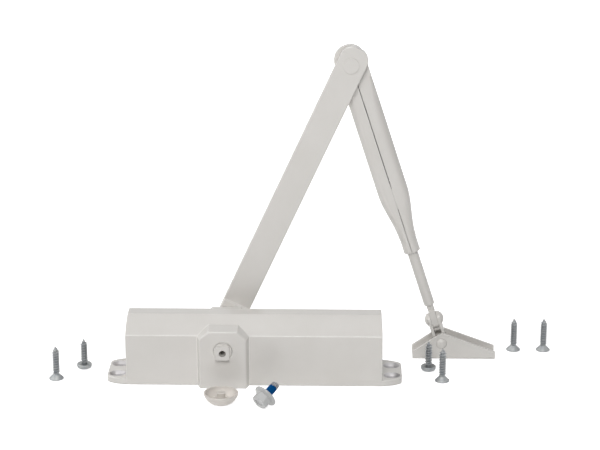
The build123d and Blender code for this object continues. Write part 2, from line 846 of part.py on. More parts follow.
def forearm_hollow():
    """The inside of the rolled sheet and the ferrule's bore."""
    wide = forearm_width - 2 * forearm_sheet
    deep = forearm_thickness - 2 * forearm_sheet
    bore = rod_diameter / 2 + rod_thread_clearance
    straight = loft(
        [forearm_section(forearm_full_from, wide, deep), forearm_section(forearm_neck_from, wide, deep)],
        ruled=True,
    )
    neck = loft(
        [
            forearm_section(forearm_neck_from, wide, deep),
            forearm_section(forearm_neck_to, 2 * bore + neck_flat, deep),
        ],
        ruled=True,
    )
    bored = along_x(rod_between(bore, forearm_neck_from, forearm_length + 1), y=link_y)
    return straight + neck + bored


def seam(start, end):
    """The narrow gap between the rolled sheet's two edges, along the front."""
    gap = Box(end - start, forearm_sheet * 3, seam_width, align=(Align.MIN, Align.CENTER, Align.CENTER))
    return Pos(start, forearm_front_y, 0) * gap


def rod():
    """Screwed rod with a shouldered neck and a flattened tongue for the cross rivet."""
    start = forearm_length - rod_engagement
    shank = rod_between(rod_diameter / 2, start, rod_shoulder_place)
    shank = chamfer(shank.edges().group_by(Axis.Z)[-1], rod_shoulder_chamfer)
    neck_end = rod_shoulder_place + rod_neck_length
    neck = rod_between(rod_neck_diameter / 2, rod_shoulder_place - 1, neck_end + 1)
    body = along_x(shank + neck, y=link_y)
    nose = cross_place + tongue_end - tongue_width / 2
    tongue_plan = Pos((neck_end + nose) / 2, link_y) * Rectangle(nose - neck_end, tongue_width)
    tongue_plan += Pos(nose, link_y) * Circle(tongue_width / 2)
    body += extrude(tongue_plan, tongue_thickness / 2, both=True)
    hole = Cylinder(cross_rivet_diameter / 2 + running_clearance, rod_diameter * 2)
    hole = Pos(cross_place, link_y, 0) * hole
    return link_frame(elbow_x, elbow_z, link_angle - 90) * (body - hole)


def yoke():
    """U-shaped strap that hangs on the shoe pin and holds the rod's tongue between its legs."""
    profile = Pos(link_length, 0) * Circle(yoke_outer)
    legs_start = cross_place - yoke_width / 2
    profile += Pos(legs_start, 0) * Rectangle(
        link_length - legs_start, 2 * yoke_outer, align=(Align.MIN, Align.CENTER)
    )
    pin_radius = shoe_pin_diameter / 2 + running_clearance
    profile -= Pos(link_length, 0) * Circle(pin_radius)
    gap_end = link_length - pin_radius
    profile -= Pos(legs_start, 0) * Rectangle(
        gap_end - legs_start, yoke_gap, align=(Align.MIN, Align.CENTER)
    )
    profile -= Pos(gap_end, 0) * Rectangle(pin_radius, yoke_gap, align=(Align.MIN, Align.CENTER))
    strap = in_link_plane(profile, link_y - yoke_width / 2, link_y + yoke_width / 2)
    outline = Pos(cross_place, link_y) * Circle(yoke_width / 2)
    outline += Pos(cross_place, link_y) * Rectangle(
        2 * yoke_length, yoke_width, align=(Align.MIN, Align.CENTER)
    )
    strap &= extrude(outline, 2 * yoke_outer, both=True)
    hole = Pos(cross_place, link_y, 0) * Cylinder(cross_rivet_diameter / 2 + seat_clearance, 4 * yoke_outer)
    return link_frame(elbow_x, elbow_z, link_angle - 90) * (strap - hole)


def cross_rivet():
    """Rivet through the yoke's legs and the rod's tongue, domed at both ends."""
    shank = rod_between(cross_rivet_diameter / 2, -yoke_outer - 0.1, yoke_outer + 0.1)
    head = Pos(0, 0, yoke_outer) * domed_head(cross_head_diameter, cross_head_rise)
    rivet = shank + head + Rot(180, 0, 0) * head
    placed = Pos(cross_place, link_y, 0) * rivet
    return link_frame(elbow_x, elbow_z, link_angle - 90) * placed


def shoe_outline():
    """A shoe cheek seen from the front: low ends and a rounded apex above the pin."""
    left = shoe_pin_x - shoe_pin_to_left_end
    right = left + shoe_length
    cheek = Polyline(
        (left, 0),
        (right, 0),
        (right, shoe_end_height),
        (shoe_pin_x, shoe_apex_height + 1),
        (left, shoe_end_height),
        close=True,
    )
    return make_face(cheek)


def shoe():
    """Folded channel with two triangular cheeks and two screw holes in its base."""
    left = shoe_pin_x - shoe_pin_to_left_end
    profile = Rectangle(shoe_depth, 2 * shoe_apex_height, align=(Align.CENTER, Align.MIN))
    profile = fillet(profile.vertices().group_by(Axis.Y)[0], shoe_fold_radius)
    inner_depth = shoe_depth - 2 * shoe_sheet
    inner = Rectangle(inner_depth, 2 * shoe_apex_height, align=(Align.CENTER, Align.MIN))
    inner = fillet(inner.vertices().group_by(Axis.Y)[0], shoe_fold_radius - shoe_sheet)
    section = profile - Pos(0, shoe_sheet) * inner
    channel = extrude(Plane.YZ * section, shoe_length)
    channel = Pos(left, link_y, 0) * channel
    cheeks = extrude(Plane.XZ * shoe_outline(), 2 * link_y, both=True)
    apex = cheeks.edges().filter_by(Axis.Y).sort_by(Axis.Z)[-1]
    channel &= fillet(apex, shoe_apex_radius)
    pin_hole = Cylinder(shoe_pin_diameter / 2 + seat_clearance, 2 * shoe_depth)
    channel -= Pos(shoe_pin_x, link_y, shoe_pin_height) * Rot(90, 0, 0) * pin_hole
    for place in shoe_hole_places():
        channel -= Pos(place, link_y, 0) * Cylinder(shoe_hole_diameter / 2, 4 * shoe_sheet)
    return channel


def shoe_hole_places():
    """X of the two screw holes in the shoe's base."""
    first = shoe_pin_x - shoe_pin_to_left_end + shoe_hole_to_left_end
    return (first, first + shoe_hole_spacing)


def shoe_pin():
    """Pin across the shoe with a domed head outside each cheek."""
    half = shoe_depth / 2
    pin = rod_between(shoe_pin_diameter / 2, -half - 0.1, half + 0.1)
    head = Pos(0, 0, half) * domed_head(shoe_pin_head_diameter, shoe_pin_head_rise)
    pin = pin + head + Rot(180, 0, 0) * head
    return Pos(shoe_pin_x, link_y, shoe_pin_height) * Rot(90, 0, 0) * pin


def spindle_cap():
    """Push-on cover for the bare spindle end, lying face down: a dish with a central post."""
    face_radius = cap_cover_face_diameter / 2
    rim_radius = cap_cover_diameter / 2
    rim_foot = cap_cover_height - 0.8
    bulge = ((face_radius + rim_radius) / 2 + 1.3, rim_foot / 2 - 0.4)
    inner_bulge = (bulge[0] - cap_cover_wall, bulge[1] + cap_cover_wall * 0.6)
    outline = [
        Line((0, 0), (face_radius, 0)),
        ThreePointArc((face_radius, 0), bulge, (rim_radius, rim_foot)),
        Line((rim_radius, rim_foot), (rim_radius, cap_cover_height)),
        Line((rim_radius, cap_cover_height), (rim_radius - cap_cover_wall, cap_cover_height)),
        ThreePointArc(
            (rim_radius - cap_cover_wall, cap_cover_height),
            inner_bulge,
            (face_radius - 0.4, cap_cover_wall),
        ),
        Line((face_radius - 0.4, cap_cover_wall), (0, cap_cover_wall)),
        Line((0, cap_cover_wall), (0, 0)),
    ]
    dish = revolve(Plane.XZ * make_face(outline), Axis.Z)
    post = rod_between(cap_post_diameter / 2, cap_cover_wall / 2, cap_post_height)
    rib_height = cap_post_height * 0.5
    standing = (Align.CENTER, Align.CENTER, Align.MIN)
    rib = Box(2 * face_radius, cap_rib_thickness, rib_height, align=standing)
    ribs = Pos(0, 0, cap_cover_wall / 2) * (rib + Rot(0, 0, 90) * rib)
    slot = Box(cap_post_diameter * 2, cap_rib_thickness, cap_post_height, align=standing)
    post -= Pos(0, 0, cap_post_height * 0.62) * slot
    return Pos(*loose_cap_place, 0) * (dish + post + ribs)


def arm_bolt():
    """Flanged hexagon bolt that clamps the arm, lying on its head and flange."""
    head = Pos(0, 0, -bolt_head_height) * extrude(
        RegularPolygon(bolt_hex / 2, 6, major_radius=False), bolt_head_height
    )
    trim = Cone(
        bolt_hex * 0.50,
        bolt_hex * 0.50 + bolt_head_height,
        bolt_head_height,
        align=(Align.CENTER, Align.CENTER, Align.MIN),
    )
    head &= Pos(0, 0, -bolt_head_height) * trim
    flange = rod_between(bolt_flange_diameter / 2, bolt_flange_thickness - bolt_flange_rim, bolt_flange_thickness)
    flange += Cone(
        bolt_hex / 2,
        bolt_flange_diameter / 2,
        bolt_flange_thickness - bolt_flange_rim,
        align=(Align.CENTER, Align.CENTER, Align.MIN),
    )
    shank_end = bolt_flange_thickness + bolt_shank_length
    shank = rod_between(bolt_shank_diameter / 2, 0, shank_end)
    shank = chamfer(shank.edges().group_by(Axis.Z)[-1], 0.7)
    recess_floor = bolt_recess_depth - bolt_head_height
    recess = rod_between(bolt_recess_diameter / 2, -bolt_head_height - 1, recess_floor)
    bolt = head + flange + shank - recess
    turned = Rot(0, 0, bolt_heading) * Rot(0, 90 - bolt_tilt, 0) * bolt
    lift = -turned.bounding_box().min.Z
    return Pos(bolt_place[0], bolt_place[1], lift) * turned


def screw_shank(length):
    """A wood screw's core about Z, from Z = 0 to its point."""
    straight = length - screw_point_length
    shank = rod_between(screw_shank_diameter / 2, 0, straight)
    point = Cone(
        screw_shank_diameter / 2,
        0.25,
        screw_point_length,
        align=(Align.CENTER, Align.CENTER, Align.MIN),
    )
    return shank + Pos(0, 0, straight) * point


def cross_recess():
    """The cross-shaped driver recess, cut upwards from a head that stands on the table."""
    arm = Box(screw_recess_length, screw_recess_width, 2 * screw_recess_depth)
    return arm + Rot(0, 0, 90) * arm


def countersunk_screws():
    """The four screws for the housing, standing on their heads."""
    head_radius = countersunk_head_diameter / 2
    cone_height = head_radius - screw_shank_diameter / 2
    cone = Cone(
        head_radius,
        screw_shank_diameter / 2,
        cone_height,
        align=(Align.CENTER, Align.CENTER, Align.MIN),
    )
    head = rod_between(head_radius, 0, screw_rim) + Pos(0, 0, screw_rim) * cone
    screw = head + screw_shank(countersunk_length) - cross_recess()
    return [Pos(*place, 0) * screw for place in countersunk_places]


def pan_head_screws():
    """The two screws for the shoe, standing on their flat-topped round heads."""
    radius = pan_head_diameter / 2
    head = revolve(
        Plane.XZ
        * make_face(
            Polyline(
                (0, 0),
                (radius - 1.9, 0),
                (radius - 0.6, 0.6),
                (radius, 1.9),
                (radius, pan_head_height - 0.4),
                (radius - 0.4, pan_head_height),
                (0, pan_head_height),
                close=True,
            )
        ),
        Axis.Z,
    )
    screw = head + screw_shank(pan_length) - cross_recess()
    return [Pos(*place, 0) * screw for place in pan_places]


def sub_parts():
    """Every sub-part by its node's name."""
    closing_y, latching_y = valve_places()
    return {
        "housing": housing(),
        "left_end_plug": left_end_plug(),
        "right_end_plug": right_end_plug(),
        "end_plug_seals": end_plug_seals(),
        "spindle_bearings": spindle_bearings(),
        "spindle_seals": spindle_seals(),
        "bearing_cap": bearing_cap(),
        "bearing_cap_seal": bearing_cap_seal(),
        "closing_valve": placed_valve(closing_y),
        "closing_valve_seal": valve_seal(closing_y),
        "latching_valve": placed_valve(latching_y),
        "latching_valve_seal": valve_seal(latching_y),
        "return_spring": return_spring(),
        "spindle": spindle(),
        "piston": piston(),
        "piston_seal": piston_seal(),
        "check_valve_seat": check_valve_seat(),
        "check_valve_ball": check_valve_ball(),
        "main_arm": main_arm(),
        "elbow_rivet": elbow_rivet(),
        "elbow_washer": elbow_washer(),
        "forearm": forearm(),
        "rod": rod(),
        "yoke": yoke(),
        "cross_rivet": cross_rivet(),
        "shoe": shoe(),
        "shoe_pin": shoe_pin(),
        "spindle_cap": spindle_cap(),
        "arm_bolt": arm_bolt(),
        "countersunk_screws": countersunk_screws(),
        "pan_head_screws": pan_head_screws(),
    }


def write_parts():
    os.makedirs("parts", exist_ok=True)
    for name, shape in sub_parts().items():
        solids = shape if isinstance(shape, list) else [shape]
        export_step(Compound(children=[s.solid() for s in solids]), f"parts/{name}.step")


write_parts()
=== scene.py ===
"""Overhead door closer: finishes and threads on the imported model, with floor, light and camera."""

import json
import math

import bpy
import numpy as np
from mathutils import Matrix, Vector


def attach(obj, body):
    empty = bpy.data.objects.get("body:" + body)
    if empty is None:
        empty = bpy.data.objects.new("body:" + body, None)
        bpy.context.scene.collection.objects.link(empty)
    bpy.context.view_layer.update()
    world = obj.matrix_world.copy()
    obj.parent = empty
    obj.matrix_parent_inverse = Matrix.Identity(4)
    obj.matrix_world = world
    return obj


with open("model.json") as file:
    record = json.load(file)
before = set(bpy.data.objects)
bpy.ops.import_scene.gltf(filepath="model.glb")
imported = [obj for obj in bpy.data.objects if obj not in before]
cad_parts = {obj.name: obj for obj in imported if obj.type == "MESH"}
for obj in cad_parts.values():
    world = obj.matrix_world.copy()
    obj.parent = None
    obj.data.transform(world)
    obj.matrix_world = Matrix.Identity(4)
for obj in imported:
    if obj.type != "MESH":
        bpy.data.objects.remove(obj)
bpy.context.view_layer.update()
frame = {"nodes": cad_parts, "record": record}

MM = 0.001
ROOT = "closer_body"
SHARP_ANGLE = 40.0
ORIGIN = (0.0, 0.0, 0.0)
X = (1.0, 0.0, 0.0)
Y = (0.0, 1.0, 0.0)
Z = (0.0, 0.0, 1.0)

# Lengths are in millimetres and angles in degrees, unless a line says otherwise.

# The loose wood screws stand on their heads: places on the table, and heights above it
COUNTERSUNK = ((-146.4, -9.7), (138.0, -8.5), (195.5, 54.6), (218.2, 54.6))
COUNTERSUNK_LENGTH = 25.4
COUNTERSUNK_THREAD_FROM = 3.6
PAN_HEADS = ((-128.3, 11.4), (128.7, 11.7))
PAN_LENGTH = 23.0
PAN_THREAD_FROM = 4.0
# Radii and lengths of their core, its point, and the thread's crest, which narrows to the tip
SCREW_CORE = 1.95
SCREW_POINT = 5.0
SCREW_TIP = 0.25
SCREW_CREST = 2.7
SCREW_CREST_POINT = 3.8
SCREW_CREST_LOSS = 0.9
SCREW_PITCH = 1.95
SCREW_RIDGE = 1.25
SCREW_THREAD_SHORT = 0.4

# Every thread's ridge: steps a turn, how deep its feet are sunk, the least height of its crest
# over them, the turns over which its ends fade, how narrow they get, and its section across
RIDGE_STEPS = 26
RIDGE_SUNK = 0.05
RIDGE_LEAST = 0.1
RIDGE_FADE_TURNS = 0.8
RIDGE_FADE_WIDTH = 0.05
RIDGE_SECTION = (-0.5, -0.12, 0.12, 0.5)

# The arm bolt lies on its side: its place, its thread, and the blue patch on the thread, which
# runs between two heights and is sunk below the core at both
BOLT_PLACE = (8.9, -60.9, 7.835)
BOLT_HEADING = 46.5
BOLT_TILT = 28.0
BOLT_CORE = 2.65
BOLT_CREST = 3.0
BOLT_PITCH = 1.0
BOLT_RIDGE = 0.8
BOLT_THREAD_FROM = 2.6
BOLT_THREAD_TO = 13.9
PATCH_FROM = 4.0
PATCH_TO = 10.6
# Sines that make its two ends ragged: waves round the bolt, height, phase in radians
PATCH_FROM_RAGGED = ((3, 0.25, 0.0), (7, 0.15, 1.0))
PATCH_TO_RAGGED = ((2, 0.2, 2.0), (9, 0.15, 0.0))
PATCH_RADIUS = 3.08
PATCH_WAVE = 0.06
PATCH_SUNK = 2.5
PATCH_EDGE_SLOPE = 22.0
PATCH_ROWS = 60
PATCH_COLUMNS = 72

# The fixing slots in the ears: half the line along each slot's middle, the radius of its mouth,
# and how soft the rim is
SLOT_PLACE = (101.0, 9.5)
SLOT_HALF_LINE = 0.8
SLOT_MOUTH_RADIUS = 5.35
SLOT_RIM = 0.15

# The link from the elbow to the shoe: its two ends, its slope, and distances from the elbow
ELBOW = (69.38, 0.0, 228.03)
CROSS_RIVET = (133.749, 40.8, 29.919)
LINK_ANGLE = 18.0
FERRULE_END = 151.4
ROD_PITCH = 1.25
ROD_RELIEF = 0.05
ROD_FADE_MIDDLE = 16.0
ROD_FADE_LENGTH = 30.0
SEAM_WELD = (99.0, 115.5)
SEAM_END_FADE = 1.5
SEAM_HALF_WIDTH = 0.25
SEAM_FLANK = 0.3
SEAM_DEPTH = 0.25
# The tongue's end, from inside the rod's solid down to the nose
TONGUE_RADIUS = 1.8
TONGUE_FROM = 5.8
TONGUE_END = 10.0
TONGUE_HALF_ACROSS = 2.38
TONGUE_NOSE_POINTS = 15

# The floor in metres: half its side, its place just under the object, where it runs to white, and
# how bright it and the surround are, from 0 to 1
FLOOR_HALF = 6.0
FLOOR_HEIGHT = -0.2 * MM
FLOOR_WHITE_AT = 0.55
FLOOR_WHITE_FADE = 0.6
FLOOR_GLOW = 0.72
FLOOR_COLOUR = (0.92, 0.92, 0.92, 1.0)
FLOOR_ROUGH = 0.9
BLACK = (0.0, 0.0, 0.0, 1.0)
WHITE = (1.0, 1.0, 1.0, 1.0)
WORLD_LIGHT = 0.02

# Soft boxes: place and size in metres, and power in watts. Each looks at the same point.
LAMPS_AIM = (0.0, 0.0, 0.08)
LAMPS = {
    "front_box": ((0.0, -1.5, 1.3), (0.8, 0.8), 20.0),
    "top_box": ((0.0, 0.0, 2.0), (1.6, 1.6), 7.0),
    "left_box": ((-1.8, -0.2, 1.2), (2.4, 1.8), 15.0),
    "back_left_box": ((-1.3, 0.7, 1.3), (2.0, 1.6), 6.0),
    "back_right_box": ((1.3, 0.7, 1.3), (2.0, 1.6), 4.0),
}

# The photograph's camera: the point it looks at and the distance are in metres
CAMERA_TARGET = (0.033225, 0.0, 0.116963)
CAMERA_DISTANCE = 1.4
CAMERA_ELEVATION = 18.0
CAMERA_YAW = 1.15
CAMERA_LENS = 116.23
CAMERA_SENSOR = 36.0
CAMERA_CLIP = (0.05, 50.0)

# The Mix node's sockets for colours, by number because its other types share their names
MIX_FACTOR, MIX_FIRST, MIX_SECOND, MIX_RESULT = 0, 6, 7, 2


class Value:
    """A number or colour in a shader: its operators and functions add nodes to the tree."""

    def __init__(self, tree, socket):
        self.tree = tree
        self.socket = socket

    def math(self, operation, *others, clamp=False):
        """A Math node on this value and the others, in that order."""
        settings = {"operation": operation, "use_clamp": clamp}
        return add_node(self.tree, "ShaderNodeMath", settings, dict(enumerate((self, *others))))

    def __add__(self, other):
        return self.math("ADD", other)

    def __sub__(self, other):
        return self.math("SUBTRACT", other)

    def __mul__(self, other):
        return self.math("MULTIPLY", other)

    def __truediv__(self, other):
        return self.math("DIVIDE", other)

    def __rsub__(self, other):
        return self * -1.0 + other

    __radd__ = __add__
    __rmul__ = __mul__

    def above(self, edge, softness):
        """0 below the edge, 1 above it, with a ramp of the given width between."""
        return ((self - edge) / softness).math("ADD", 0.5, clamp=True)

    def between(self, low, high, softness):
        """1 between two values, 0 outside them, with soft ramps."""
        return self.above(low, softness) * (1.0 - self.above(high, softness))


def connect(tree, socket, value):
    """Links a Value to a socket, or sets the socket to a plain number, colour or vector."""
    if isinstance(value, Value):
        tree.links.new(value.socket, socket)
    else:
        socket.default_value = value


def add_node(tree, kind, settings=None, sockets=None, output=0):
    """Adds a node, first its settings and then its sockets, each by name or number."""
    node = tree.nodes.new(kind)
    for name, value in (settings or {}).items():
        setattr(node, name, value)
    for place, value in (sockets or {}).items():
        connect(tree, node.inputs[place], value)
    return Value(tree, node.outputs[output])


class Finish:
    """One material being written: its node tree, its shader and its Object coordinates."""

    def __init__(self, name):
        self.material = bpy.data.materials.new(name)
        self.material.use_nodes = True
        self.tree = self.material.node_tree
        self.shader = self.tree.nodes["Principled BSDF"]
        self.place = self.node("ShaderNodeTexCoord", output="Object")

    def node(self, kind, settings=None, sockets=None, output=0):
        """Adds a node to this material."""
        return add_node(self.tree, kind, settings, sockets, output)

    def vector_math(self, operation, *vectors):
        """The number that a Vector Math node gives for one vector or two."""
        sockets = dict(enumerate(vectors))
        return self.node("ShaderNodeVectorMath", {"operation": operation}, sockets, "Value")

    def noise(self, scale, detail=2.0, roughness=0.5, place=None):
        """Noise from 0 to 1; scale is in bumps a metre."""
        sockets = {
            "Vector": place or self.place,
            "Scale": scale,
            "Detail": detail,
            "Roughness": roughness,
        }
        return self.node("ShaderNodeTexNoise", sockets=sockets)

    def stretched(self, scale):
        """Object coordinates stretched by a factor on each axis."""
        return self.node("ShaderNodeMapping", sockets={"Vector": self.place, "Scale": scale})

    def along(self, direction, start=ORIGIN):
        """How far a point lies from a start point in a direction, in millimetres."""
        offset = sum(a * b for a, b in zip(direction, start))
        return self.vector_math("DOT_PRODUCT", self.place, direction) / MM - offset

    def mix(self, factor, first, second):
        """A colour between two colours."""
        sockets = {MIX_FACTOR: factor, MIX_FIRST: first, MIX_SECOND: second}
        return self.node("ShaderNodeMix", {"data_type": "RGBA"}, sockets, MIX_RESULT)

    def rounded_normal(self, radius):
        """The normal as it would be with edges rounded by a radius in metres."""
        return self.node("ShaderNodeBevel", {"samples": 8}, {"Radius": radius})

    def edge_mask(self, radius):
        """How far the rounded normal leans from the real one: 0 on faces, up to 1 on edges."""
        true = self.node("ShaderNodeNewGeometry", output="Normal")
        return 1.0 - self.vector_math("DOT_PRODUCT", true, self.rounded_normal(radius))

    def relief(self, height, strength, distance, radius):
        """Bump from a height field on top of edges rounded by a radius; both lengths in metres."""
        sockets = {
            "Height": height,
            "Strength": strength,
            "Distance": distance,
            "Normal": self.rounded_normal(radius),
        }
        return self.node("ShaderNodeBump", sockets=sockets)

    def set(self, **values):
        """Sets or links the shader's sockets, named with _ for a space, and gives the material."""
        for name, value in values.items():
            connect(self.tree, self.shader.inputs[name.replace("_", " ")], value)
        return self.material


def linear(red, green, blue):
    """An sRGB colour of 0 to 255 as a linear colour with alpha."""
    parts = []
    for channel in (red, green, blue):
        c = channel / 255.0
        parts.append(c / 12.92 if c <= 0.04045 else ((c + 0.055) / 1.055) ** 2.4)
    return (*parts, 1.0)


# What the finishes are mixed from. A pair is the light tone and then the shaded one.
CLOSER_PAINT = linear(220, 217, 213), linear(214, 211, 206)
BOLT_PAINT = linear(198, 198, 197), linear(188, 189, 189)
PAINT_DUST = linear(182, 178, 172)
# The lighter tone on the paint's edges: rubbed paint and a painted highlight
PAINT_RUBBED_AND_HIGHLIT = linear(246, 244, 240)
SLOT_METAL = linear(182, 180, 181)
ZINC_DARK = linear(126, 130, 134)
ZINC_LIGHT = linear(160, 161, 159)
# Painted shade for the thread's hollows and for its root
ZINC_HOLLOW_SHADE = linear(66, 71, 80)
ZINC_ROOT_SHADE = linear(66, 71, 82)
STEEL_EDGE = linear(225, 225, 225)
RUBBER_BLACK = linear(24, 24, 25)
RUBBER_BLOOM = linear(46, 46, 46)
PLASTIC = linear(220, 215, 209), linear(213, 207, 200)
PATCH_DARK = linear(0, 56, 104)
PATCH_LIGHT = linear(0, 84, 148)
PATCH_WORN = linear(70, 110, 160)

# Bare metals, by material slot: light tone, dark tone and roughness
METALS = {
    "plated_steel": (linear(190, 190, 188), linear(160, 160, 158), 0.30),
    "bearing_steel": (linear(205, 205, 205), linear(185, 185, 186), 0.18),
    "spring_steel": (linear(110, 112, 116), linear(74, 76, 80), 0.35),
    "piston_iron": (linear(140, 139, 137), linear(112, 111, 110), 0.40),
    "valve_brass": (linear(214, 184, 120), linear(190, 158, 96), 0.26),
}
BOLT_THREAD_METAL = (linear(126, 126, 132), linear(84, 84, 92), 0.28)

# Powder paint: what each of its patterns adds to the tone, the height and the roughness
DUST_TINT = 0.12
# How much of the edges' lightening, rubbed paint and painted highlight, is even and how much patchy
RUB_AND_HIGHLIGHT_EVEN, RUB_AND_HIGHLIGHT_PATCHY = 0.8, 0.4
FINE_PEEL, BROAD_PEEL = 0.10, 0.08
PAINT_ROUGH, CLOUD_ROUGH, DUST_ROUGH, GRAIN_ROUGH = 0.20, 0.03, 0.01, 0.02
SLOT_ROUGH, SLOT_METALLIC = 0.5, 0.6
PAINT_IOR = 1.5


def powder_coat(
    name, radius=0.7 * MM, peel=0.2, marks=None, bare=None, paint=CLOSER_PAINT, edge_highlight=0.15
):
    """Baked powder paint: orange peel, faint cloudy tone, dust specks, painted highlight on rubbed
    edges.

    radius rounds the edges, in metres, and peel is the height of the orange peel. marks is a
    function that takes the finish and gives an added height from -1 to 1, for what the paint
    covers and shows, such as a thread or a seam. bare is a function that takes the finish and
    gives 1 where the metal was machined after painting and shows. paint is a light and a shaded
    tone. edge_highlight says how light the edges are painted: rubbed paint and a painted
    highlight along them. The paint's roughness stays under 0.27: above that, the renderer's
    denoiser treats the paint another way, and flecks show.
    """
    fin = Finish(name)
    light, shade = paint
    cloud = fin.noise(scale=22.0, detail=4.0, roughness=0.6)
    dust = fin.noise(scale=900.0, roughness=0.6).above(0.71, softness=0.05)
    grain = fin.noise(scale=310.0)
    edge = fin.edge_mask(radius).above(0.04, softness=0.05)
    patchy = fin.noise(scale=70.0, detail=6.0, roughness=0.7)
    # Edges lightened all along and more in patches: rubbed paint and a painted highlight
    rub_and_highlight = (patchy * RUB_AND_HIGHLIGHT_PATCHY + RUB_AND_HIGHLIGHT_EVEN) * edge
    tone = fin.mix(cloud.above(0.5, softness=0.5), light, shade)
    tone = fin.mix(dust * DUST_TINT, tone, PAINT_DUST)
    tone = fin.mix(rub_and_highlight * edge_highlight, tone, PAINT_RUBBED_AND_HIGHLIT)
    fine_peel = fin.noise(scale=620.0, detail=3.0, roughness=0.55)
    broad_peel = fin.noise(scale=170.0)
    height = (fine_peel * FINE_PEEL + broad_peel * BROAD_PEEL) * peel
    if marks:
        height = height + marks(fin)
    rough = PAINT_ROUGH + cloud * CLOUD_ROUGH + dust * DUST_ROUGH + grain * GRAIN_ROUGH
    metal = 0.0
    if bare:
        metal = bare(fin)
        tone = fin.mix(metal, tone, SLOT_METAL)
        rough = rough * (1.0 - metal) + metal * SLOT_ROUGH
    return fin.set(
        Base_Color=tone,
        Metallic=metal * SLOT_METALLIC,
        Roughness=rough,
        Normal=fin.relief(height, strength=1.0, distance=0.6 * MM, radius=radius),
        IOR=PAINT_IOR,
    )


def machined_slots(fin):
    """1 in the countersinks of the four fixing slots, and 0 outside them.

    X and Y without their signs fold the four slots into one. A point is in the countersink where
    it is nearer to the slot's middle line than the radius of the slot's mouth.
    """
    x = fin.along(X).math("ABSOLUTE") - SLOT_PLACE[0]
    y = fin.along(Y).math("ABSOLUTE") - SLOT_PLACE[1]
    x = (x.math("ABSOLUTE") - SLOT_HALF_LINE).math("MAXIMUM", 0.0)
    distance = (x * x + y * y).math("SQRT")
    return 1.0 - distance.above(SLOT_MOUTH_RADIUS, SLOT_RIM)


def link_directions():
    """Unit vectors along the link from the elbow to the shoe, and across it."""
    angle = math.radians(LINK_ANGLE)
    return (math.sin(angle), 0.0, -math.cos(angle)), (math.cos(angle), 0.0, math.sin(angle))


def rod_thread(fin):
    """The rod's thread, drowned in paint: rings a pitch apart that fade out towards the shoe."""
    down, _ = link_directions()
    place = fin.along(down, ELBOW)
    ring = (place * (2 * math.pi / ROD_PITCH)).math("SINE")
    fade = 1.0 - place.above(FERRULE_END + ROD_FADE_MIDDLE, ROD_FADE_LENGTH)
    return ring * fade * ROD_RELIEF


def welded_seam(fin):
    """The forearm's seam where it is welded shut: a shallow groove between its two open parts."""
    down, across = link_directions()
    welded = fin.along(down, ELBOW).between(*SEAM_WELD, SEAM_END_FADE)
    side = fin.along(across, ELBOW).math("ABSOLUTE")
    return welded * (1.0 - side.above(SEAM_HALF_WIDTH, SEAM_FLANK)) * -SEAM_DEPTH


# Zinc plating: how far its lines, the painted shade in its hollows and the painted shade on the
# thread's root tint it, how far from a point the hollows' painted shade is felt, and what each
# pattern adds to the roughness
ZINC_LINE_TINT, ZINC_HOLLOW_SHADE_MOST, ZINC_ROOT_SHADE_TINT = 0.25, 0.75, 0.3
ZINC_HOLLOW_SHADE_REACH = 0.9 * MM
ZINC_ROUGH, ZINC_BLOOM_ROUGH, ZINC_LINE_ROUGH, ZINC_HEAD_ROUGH = 0.26, 0.12, 0.08, 0.1
# Heights above the table between which the loose screws' threads lie, and how soft the ends are
ZINC_THREAD_HEIGHTS = (4.2, 21.5)
ZINC_ROOT_FADE = 0.6


def zinc_plate(name, root=None):
    """Bright zinc plating: fine turning lines, a grey-blue bloom, and painted shade in the hollows.

    root gives the heights in millimetres between which the thread's root is painted darker as
    painted shade; below them, on the head, the plating is rougher.
    """
    fin = Finish(name)
    bloom = fin.noise(scale=420.0, detail=5.0, roughness=0.65)
    turned = fin.stretched((900.0, 900.0, 6500.0))
    lines = fin.noise(scale=1.0, detail=3.0, roughness=0.6, place=turned)
    reach = {"Distance": ZINC_HOLLOW_SHADE_REACH}
    # Painted shade in the hollows, where the AO node finds the surface hemmed in
    hollow_shade = 1.0 - fin.node("ShaderNodeAmbientOcclusion", {"samples": 8}, reach, "AO")
    tone = fin.mix(bloom.above(0.5, softness=0.4), ZINC_DARK, ZINC_LIGHT)
    tone = fin.mix(lines.above(0.62, softness=0.2) * ZINC_LINE_TINT, tone, ZINC_DARK)
    tone = fin.mix(hollow_shade.math("MINIMUM", ZINC_HOLLOW_SHADE_MOST), tone, ZINC_HOLLOW_SHADE)
    rough = ZINC_ROUGH + bloom * ZINC_BLOOM_ROUGH + lines * ZINC_LINE_ROUGH
    if root:
        height = fin.along(Z)
        # Painted shade on the thread's root, between two heights above the table
        root_shade = height.between(*root, ZINC_ROOT_FADE)
        tone = fin.mix(root_shade * ZINC_ROOT_SHADE_TINT, tone, ZINC_ROOT_SHADE)
        head = 1.0 - height.above(root[0], ZINC_ROOT_FADE)
        rough = rough + head * ZINC_HEAD_ROUGH
    skin = lines * 0.5 + bloom * 0.5
    return fin.set(
        Base_Color=tone,
        Metallic=1.0,
        Roughness=rough,
        Normal=fin.relief(skin, strength=0.12, distance=0.3 * MM, radius=0.1 * MM),
    )


# Machined steel: how much lighter its edges are, and what its cutting lines add to the roughness
STEEL_EDGE_TINT = 0.4
STEEL_LINE_ROUGH = 0.15


